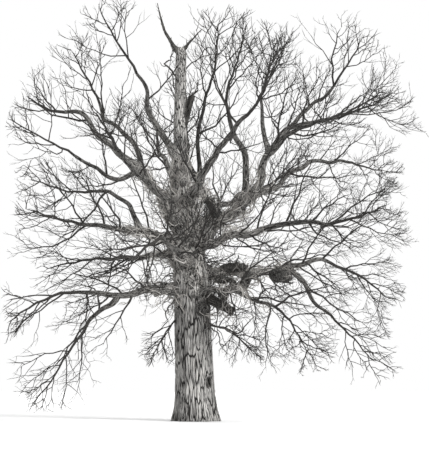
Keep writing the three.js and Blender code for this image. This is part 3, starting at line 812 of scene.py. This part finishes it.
def out_of_crown(place):
    """The crown is a round dome on a squarer skirt, with low lumps."""
    off = place - CROWN_MIDDLE
    square = CROWN_DOME if off.z > 0 else CROWN_SKIRT
    across = math.hypot(off.x / CROWN_WIDE, off.y / CROWN_DEEP)
    share = across**square + (abs(off.z) / CROWN_HIGH) ** square
    lump = math.sin(3 * math.atan2(off.y, off.x) + 1.1 * off.z) * math.sin(1.9 * off.x - 1.3 * off.y)
    return share > 1 + CROWN_LUMP * lump or place.z < LOWEST_TWIG


def wall_past(mass, place, margin):
    for way, limit in mass["walls"]:
        if way.dot(place) > limit - margin:
            return way
    return None


def grow(mass, start, first_way, length, radius, level, seed, twigs):
    """One twig, and the twigs on it. It sways, tends outwards, and lifts to the light or hangs."""
    rule = LEVELS[level]
    dice = Dice(seed)
    stretch = length / rule["steps"]
    margin = radius + WALL_MARGIN
    room = (mass["reach"] * SPACE_SHARE - margin) ** 2
    path = [start]
    way = first_way
    sway = dice.roll(0, 360)
    for i in range(rule["steps"]):
        sway += dice.roll(80, 200)
        bend = rule["bend"] * dice.roll(0.3, 1)
        side = square_to(way)
        turned = way + side * bend * math.cos(math.radians(sway))
        turned += side.cross(way) * bend * math.sin(math.radians(sway))
        turned += (path[i] - CROWN_HEART).normalized() * OUTWARD_PULL
        turned.z += rule["lift"] - mass["droop"] * rule["droop"]
        way = turned.normalized()
        end = path[i] + way * stretch
        # A stem or a side twig slides along a wall, and a finer twig ends there.
        wall = wall_past(mass, end, margin)
        if wall and level < 2:
            way = (way + wall * (-WALL_TURN * way.dot(wall) - WALL_SLIP)).normalized()
            end = path[i] + way * stretch
            wall = wall_past(mass, end, margin)
        if wall or out_of_crown(end) or (end - mass["centre"]).length_squared > room:
            break
        if hits_limb(mass, end, radius, level):
            break
        path.append(end)
    if len(path) < 3:
        return
    tip = radius * TWIG_TAPER
    least = LEAST_RADIUS[level]
    twigs.append((level, path, max(radius, least), max(tip, least * LEAST_TIP)))
    if level == mass["finest"]:
        return
    finer = LEVELS[level + 1]
    count = max(2, int(rule["side"] * (len(path) - 1) / rule["steps"] + 0.5))
    if level > 1:
        count = max(1, round(count * mass["fine"]))
    first = TWIG_BARE if level else STEM_BARE
    roll = dice.roll(0, 360)
    for k in range(count):
        share = first + (1 - first) * (k + dice.roll(0.1, 0.9)) / count
        roll += TURN + dice.roll(-25, 25)
        splay = finer["splay"] + dice.roll(-12, 12)
        child_length = length * finer["share"] * (1.2 - 0.7 * share) * dice.roll(0.7, 1.2)
        child_radius = (radius + (tip - radius) * share) * CHILD_RADIUS
        child_way = leaning(way_along(path, share), math.radians(splay), math.radians(roll))
        child_seed = mixed(seed + 101 * (k + 1))
        foot = between(path, share)
        grow(mass, foot, child_way, child_length, child_radius, level + 1, child_seed, twigs)


def twig_mesh(name, twigs):
    """Joins twigs into one mesh from arrays: each is a closed, tapering tube that ends in a point."""
    groups = {}
    for level, path, radius, tip in twigs:
        groups.setdefault((TWIG_SIDES[level], len(path)), []).append((path, radius, tip))
    corners, quads, threes, caps = [], [], [], []
    base = 0
    for (sides, count), group in groups.items():
        places = np.array([path for path, _, _ in group], dtype=float)
        thick = np.array([(radius, tip) for _, radius, tip in group])
        steps = np.linspace(0, 1, count)[: count - 1]
        radii = thick[:, :1] + (thick[:, 1:] - thick[:, :1]) * steps
        ways = np.gradient(places, axis=1)
        ways /= np.linalg.norm(ways, axis=2, keepdims=True)
        least = np.abs(ways.mean(axis=1)).argmin(axis=1)
        side = np.cross(ways, np.eye(3)[least][:, None, :])
        side /= np.linalg.norm(side, axis=2, keepdims=True)
        up = np.cross(ways, side)
        turns = np.arange(sides) * 2 * math.pi / sides
        ring = side[:, :-1, None] * np.cos(turns)[:, None] + up[:, :-1, None] * np.sin(turns)[:, None]
        ring = places[:, :-1, None] + ring * radii[:, :, None, None]
        many, rings = len(group), count - 1
        own = rings * sides + 1
        corners.append(np.concatenate([ring.reshape(many, -1, 3), places[:, -1:]], axis=1).reshape(-1, 3))
        feet = base + np.arange(many)[:, None] * own
        j = np.arange(sides)
        near = (np.arange(rings - 1)[:, None] * sides + j).ravel()
        beside = (np.arange(rings - 1)[:, None] * sides + (j + 1) % sides).ravel()
        square = np.stack([near, beside, beside + sides, near + sides], 1)
        quads.append((feet[:, :, None] + square).reshape(-1, 4))
        last = (rings - 1) * sides
        point = np.full(sides, rings * sides)
        three = np.stack([last + j, last + (j + 1) % sides, point], 1)
        threes.append((feet[:, :, None] + three).reshape(-1, 3))
        caps.append((sides, (feet + j[::-1]).reshape(-1, sides)))
        base += many * own
    blocks = [np.concatenate(quads), np.concatenate(threes)] + [cap for _, cap in caps]
    mesh = bpy.data.meshes.new(name)
    corners = np.concatenate(corners)
    mesh.vertices.add(len(corners))
    mesh.vertices.foreach_set("co", corners.ravel())
    mesh.loops.add(sum(block.size for block in blocks))
    mesh.loops.foreach_set("vertex_index", np.concatenate([block.ravel() for block in blocks]))
    sizes = np.concatenate([np.full(len(block), block.shape[1]) for block in blocks])
    mesh.polygons.add(len(sizes))
    mesh.polygons.foreach_set("loop_start", np.concatenate([[0], np.cumsum(sizes)[:-1]]))
    mesh.polygons.foreach_set("use_smooth", np.ones(len(sizes), dtype=bool))
    mesh.update(calc_edges=True)
    mesh.validate()
    piece = bpy.data.objects.new(name, mesh)
    bpy.context.collection.objects.link(piece)
    return piece


TWIG_BARK = plain_material("twig_bark", (0.022, 0.02, 0.018))

for mass in masses:
    twigs = []
    length = mass["reach"] * STEM_SHARE
    grow(mass, mass["start"], mass["way"], length, mass["radius"], 0, mass["seed"], twigs)
    spray = twig_mesh(mass["name"].replace("_twigs", "") + "_spray", twigs)
    spray.data.materials.append(TWIG_BARK)
    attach(spray, "root")
    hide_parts(mass["name"])


# Side branches: the boughs carry smaller branches of the same growth along their outer lengths.
# A steep bough is bare for longer, as the light falls on its top.
STEEP, STEEP_BARE, BARE = 30, 0.5, 0.2
BRANCH_GAP = 0.33
BRANCH_RADIUS = 0.012
branches_joined = {"left": [], "right": [], "front": [], "back": []}
open_space = dict(limb="", centre=Vector((0, 0, 9)), reach=99, walls=[], finest=4, fine=0.8)

for k, (name, form) in enumerate(BOUGHS.items()):
    if not form["reach"]:
        continue
    dice = Dice(9000 + k)
    steep = sum(form["rises"]) / len(form["rises"]) > STEEP
    bare = form["length"] * (STEEP_BARE if steep else BARE)
    gap = BRANCH_GAP * FULLNESS.get(name, USUAL_FULLNESS)[1]
    count = round((form["length"] - bare) / gap)
    roll = dice.roll(0, 360)
    group = next((side for side in ("front", "back") if name.startswith(side)), None)
    group = group or ("left" if "left" in name or name in ("cross_limb", "centre_thin") else "right")
    for j in range(count):
        share = (bare + (form["length"] - bare) * (j + dice.roll(0.1, 0.9)) / count) / form["length"]
        roll += TURN + dice.roll(-30, 30)
        splay = dice.roll(40, 75)
        length = dice.roll(0.8, 3.3)
        way = leaning(way_along(bough_paths[name], share), math.radians(splay), math.radians(roll))
        foot = between(bough_paths[name], share)
        mass = dict(open_space, droop=form["droop"])
        radius = BRANCH_RADIUS * length + BRANCH_RADIUS
        grow(mass, foot, way, length, radius, 1, mixed(5000 + 100 * k + j), branches_joined[group])
for group, twigs in branches_joined.items():
    branches = twig_mesh(group + "_side_branches", twigs)
    branches.data.materials.append(TWIG_BARK)
    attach(branches, "root")


# Burrs: the bark of an old oak swells into rough lumps round the trunk's crown, on the inner boughs
# and over the torn limb. Each is a round lump set into the wood, folded and then grained as bark is.
LUMPS = (
    # The lump's middle in X, Y and Z, its three half sizes, and its tilt in degrees.
    (-0.62, -0.52, 7.25, 0.17, 0.14, 0.17, 0),
    (-0.86, -0.45, 6.74, 0.32, 0.2, 0.15, 15),
    (0.24, -0.62, 4.62, 0.32, 0.2, 0.3, 0),
    (1.08, -0.72, 5.84, 0.32, 0.2, 0.17, 10),
    (2.05, -0.85, 5.75, 0.2, 0.18, 0.42, 24),
    (1.52, -0.85, 5.6, 0.12, 0.12, 0.28, -8),
    (1.12, -0.72, 5.2, 0.22, 0.17, 0.25, -30),
    (1.55, -0.4, 6.35, 0.6, 0.25, 0.2, -4),
    (3.6, 1.2, 6.15, 0.5, 0.3, 0.32, 8),
)
TRUNK_BURRS, BOUGH_BURRS, BURRED_BUTT = 20, 3, 0.18
BURR_SUNK = 0.2
# The listed lumps are painted much darker than the scattered ones: painted shade under the boughs' butts.
BURR_SHADES = (0.4, 0.9)
# Folds and then grain: how wide they are across and up, and how deep.
SWELLINGS = ((0.3, 0.4, 0.07), (0.06, 0.5, 0.02))

bpy.ops.object.select_all(action="DESELECT")
dice = Dice(4000)
lumps = [(Vector(lump[:3]), Vector(lump[3:6]), lump[6]) for lump in LUMPS]
for i in range(TRUNK_BURRS):
    z = dice.roll(4.5, 10.2)
    out = heading(dice.roll(0, 360), 0)
    size = dice.roll(0.1, 0.24)
    sizes = Vector((size * dice.roll(0.8, 1.5), size, size * dice.roll(0.8, 1.5)))
    place = trunk_centre(z) + out * (trunk_radius(z) - BURR_SUNK * size)
    lumps.append((place, sizes, dice.roll(-40, 40)))
for name, form in BOUGHS.items():
    if form["butt"] < BURRED_BUTT:
        continue
    for i in range(BOUGH_BURRS):
        share = dice.roll(0.1, 0.36) if form["on"] == "trunk" else dice.roll(0.04, 0.3)
        radius = radius_along(form, share)
        out = leaning(way_along(bough_paths[name], share), math.radians(90), dice.roll(0, 6.3))
        size = radius * dice.roll(0.5, 1.05)
        sizes = Vector((size * dice.roll(1, 1.6), size, size * dice.roll(0.8, 1.3)))
        place = between(bough_paths[name], share) + out * (radius - BURR_SUNK * size)
        lumps.append((place, sizes, dice.roll(-60, 60)))
# The lumps after the first are added in edit mode, and so join it in one mesh.
for i, (place, sizes, tilt) in enumerate(lumps):
    bpy.ops.mesh.primitive_ico_sphere_add(
        subdivisions=4, radius=1, location=place, rotation=(0, math.radians(tilt), 0), scale=sizes
    )
    if i == 0:
        burrs = bpy.context.object
        burrs.name = "burrs"
        bpy.ops.object.transform_apply(location=True, rotation=True, scale=True)
        go_to("EDIT")
bpy.ops.mesh.select_all(action="SELECT")
bpy.ops.mesh.normals_make_consistent(inside=False)
go_to("OBJECT")
corners_each = len(burrs.data.vertices) // len(lumps)
# Painted shade: the listed lumps, the first in the mesh, get the darker tone.
burr_shades = [BURR_SHADES[i >= corners_each * len(LUMPS)] for i in range(len(burrs.data.vertices))]
for across, up, depth in SWELLINGS:
    places = [(v.co.x / across, v.co.y / across, v.co.z / up) for v in burrs.data.vertices]
    lay_grain(burrs, places, [depth] * len(places), burr_shades)
    lift_bark(burrs)
bpy.ops.object.shade_smooth()
burrs.data.materials.append(BOUGH_BARK)
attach(burrs, "root")


# Tangled shoots: round the burrs hundreds of crooked shoots have sprouted, died and grown together.
# Each wanders close over the bark, and carries a few smaller ones. Some are pale and bare of bark.
TANGLES = {
    # From where to where on the limb, in metres up the trunk or as shares of the bough, and how many shoots.
    "trunk": (4.4, 10.6, 260), "right_great": (0.08, 0.5, 70), "left_great": (0.06, 0.36, 52),
    "cross_limb": (0.05, 0.5, 26), "left_mid": (0.08, 0.42, 32), "low_left": (0.12, 0.4, 18),
    "right_low": (0.12, 0.6, 34), "right_mid": (0.08, 0.4, 26), "right_drop": (0.16, 0.6, 20),
    "front_low": (0.15, 0.35, 10), "front_left": (0.1, 0.3, 10), "front_right": (0.1, 0.3, 10),
    "back_low": (0.15, 0.35, 10), "back_left": (0.1, 0.3, 10), "back_right": (0.1, 0.3, 10),
    "left_shelf": (0.1, 0.4, 24),
}
SHOOT_STEP = 0.11
PUSHED_OFF, PULLED_BACK = 0.5, 0.35
BURR_SHOOTS = 6
LOOKS = ("pale", "grey", "pale", "grey", "dark")
for place, sizes, tilt in lumps[: len(LUMPS)]:
    note_point("burr", place, min(sizes) - TWIG_CLEARANCE)


def crooked(start, way, steps, bend, farthest, dice):
    """A path that kinks at every step and keeps close over the nearest limb."""
    path = [start]
    for i in range(steps):
        place = path[-1]
        turned = way + dice.push() * bend
        skins = [((place - p).length - clear, p) for _, p, clear in limb_points.get(cell_of(place), ())]
        off, middle = min(skins, key=lambda skin: skin[0], default=(1.0, start))
        if off < 0:
            turned += (place - middle).normalized() * PUSHED_OFF
        elif off > farthest:
            turned -= (place - middle).normalized() * PULLED_BACK
        way = turned.normalized()
        path.append(place + way * SHOOT_STEP * dice.roll(0.7, 1.2))
    return path


# How a shoot grows: how much it points out of the bark, round the limb and along it, how thick it is, in how
# many steps it grows, how much it bends and how far off it stands. Only the dark ones stand out far.
CLOSE = dict(out=0.15, around=0.5, along=(0.5, 1.2), thick=(0.011, 0.03), steps=(9, 22), bend=0.24, off=0.05)
WIDE = dict(out=1, around=0.7, along=(-0.6, 1), thick=(0.014, 0.028), steps=(5, 14), bend=0.6, off=0.34)
HABITS = {"pale": CLOSE, "grey": CLOSE, "dark": WIDE}
shoots = {look: [] for look in HABITS}


def sprout(foot, out, along, look, dice):
    """A crooked shoot from the bark, with a few smaller ones on it."""
    habit = HABITS[look]
    around = along.cross(out) * dice.roll(-1, 1)
    way = out * habit["out"] + around * habit["around"] + along * dice.roll(*habit["along"])
    thick, steps = dice.roll(*habit["thick"]), round(dice.roll(*habit["steps"]))
    stem = crooked(foot, way.normalized(), steps, habit["bend"], habit["off"], dice)
    shoots[look].append((1, stem, thick, thick * 0.4))
    for j in range(round(dice.roll(1, 3.6))):
        share = dice.roll(0.2, 0.9)
        way = leaning(way_along(stem, share), 0.9, dice.roll(0, 6.3))
        side = crooked(between(stem, share), way, round(dice.roll(3, 8)), 0.5, 0.26, dice)
        shoots[look].append((2, side, thick * 0.5, thick * 0.2))


for k, (name, (low, high, count)) in enumerate(TANGLES.items()):
    dice = Dice(4500 + k)
    for i in range(count):
        at = dice.roll(low, high)
        if name == "trunk":
            along = Vector((0, 0, 1))
            out = heading(dice.roll(0, 360), 0)
            foot = trunk_centre(at) + out * trunk_radius(at) * 0.97
        else:
            along = way_along(bough_paths[name], at)
            out = leaning(along, math.radians(90), dice.roll(0, 6.3))
            foot = between(bough_paths[name], at) + out * BOUGHS[name]["butt"] * 0.8
        sprout(foot, out, along, LOOKS[i % len(LOOKS)], dice)
for k, (place, sizes, tilt) in enumerate(lumps[: len(LUMPS)]):
    dice = Dice(4600 + k)
    for i in range(BURR_SHOOTS):
        out = heading(dice.roll(180, 360), dice.roll(-70, 70))
        along = heading(dice.roll(-60, 60), dice.roll(-60, 60))
        sprout(place + out * min(sizes), out, along, LOOKS[3 + i % 2], dice)
COLOURS = {"pale": (0.5, 0.482, 0.457), "grey": (0.27, 0.257, 0.24), "dark": (0.03, 0.028, 0.025)}
for look, colour in COLOURS.items():
    tangle = twig_mesh(look + "_tangle", shoots[look])
    tangle.data.materials.append(plain_material(look + "_shoots", colour))
    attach(tangle, "root")


# Dead snags: crooked dead branches beside the trunk's top, short spurs on the dead fork above it,
# and bare crooked ones low on the trunk. All are grey wood without twigs, and end in points.
SNAGS = (
    # Its thickness, then its corners as X, Y, Z.
    (0.055, [(-0.8, 0.05, 14.5), (-1.1, 0, 14.9), (-1.4, -0.05, 15.25), (-1.15, -0.1, 15.4),
             (-1.0, -0.1, 15.9)]),
    (0.04, [(-0.8, 0.05, 13.9), (-1.05, 0, 14.2), (-1.02, -0.05, 14.6), (-1.2, -0.1, 14.9)]),
    (0.035, [(-0.62, 0, 14.8), (-0.3, 0.1, 15.28), (0.36, 0.2, 15.66), (1.12, 0.3, 15.8)]),
    (0.03, [(0.1, 0.15, 15.5), (0.3, 0.1, 15.9), (0.6, 0, 16.0)]),
    (0.05, [(-0.34, -0.2, 13.2), (-0.2, -0.25, 13.8), (0.02, -0.3, 13.95), (0.0, -0.3, 14.4)]),
    (0.045, [(-0.5, -0.2, 13.0), (-0.42, -0.25, 13.6), (-0.52, -0.3, 14.1)]),
    (0.05, [(0.3, -0.7, 4.1), (0.9, -0.95, 3.86), (1.33, -1.05, 3.73), (1.76, -1.1, 3.56), (2.06, -1.1, 3.95),
            (2.4, -1.1, 4.3)]),
    (0.035, [(0.42, -0.7, 4.3), (0.44, -1.0, 3.9), (0.9, -1.05, 3.6), (1.0, -1.1, 3.1), (1.3, -1.1, 2.7)]),
    (0.04, [(-0.7, -0.4, 5.3), (-1.0, -0.5, 4.9), (-1.3, -0.5, 4.5), (-1.2, -0.5, 4.1), (-1.9, -0.6, 3.4)]),
    (0.04, [(-1.95, -0.7, 6.8), (-2.1, -0.8, 6.3), (-1.95, -0.8, 5.9), (-2.15, -0.85, 5.5)]),
    (0.04, [(-2.8, -0.9, 6.3), (-3.5, -1.0, 5.95), (-4.2, -1.1, 5.88)]),
)
SPURS = {"dead_top_left": 9, "dead_top_right": 5}
SNAG_SHAKE, SNAG_TAPER, SIDE_SNAGS, SIDE_SHARE = 0.03, 0.35, 3, 0.4
SPUR_SHARE, SPUR_LIFT, SPUR_TIP = 0.5, 0.3, 0.004

snags = []
dice = Dice(4800)
for thick, corners in SNAGS:
    corners = [Vector(corner) for corner in corners]
    path = [between(corners, i / (4 * len(corners))) for i in range(4 * len(corners) + 1)]
    path = [place + dice.push() * SNAG_SHAKE for place in path]
    snags.append((1, path, thick, thick * SNAG_TAPER))
    for j in range(SIDE_SNAGS):
        share = dice.roll(0.3, 0.95)
        way = leaning(way_along(path, share), 0.8, dice.roll(0, 6.3))
        side = crooked(between(path, share), way, round(dice.roll(3, 6)), 0.5, 9, dice)
        snags.append((2, side, thick * SIDE_SHARE, thick * 0.15))
for name, count in SPURS.items():
    form = BOUGHS[name]
    for j in range(count):
        share = 0.2 + 0.75 * (j + dice.roll(0, 1)) / count
        way = leaning(way_along(bough_paths[name], share), 0.9, dice.roll(0, 6.3))
        foot = between(bough_paths[name], share)
        length = dice.roll(0.12, 0.3)
        thick = radius_along(form, share) * SPUR_SHARE
        lifted = (way + Vector((0, 0, SPUR_LIFT))) * length
        snags.append((2, [foot, foot + way * length * 0.6, foot + lifted], thick, SPUR_TIP))
dead = twig_mesh("dead_snags", snags)
dead.data.materials.append(plain_material("dead_snag", (0.045, 0.042, 0.038)))
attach(dead, "root")
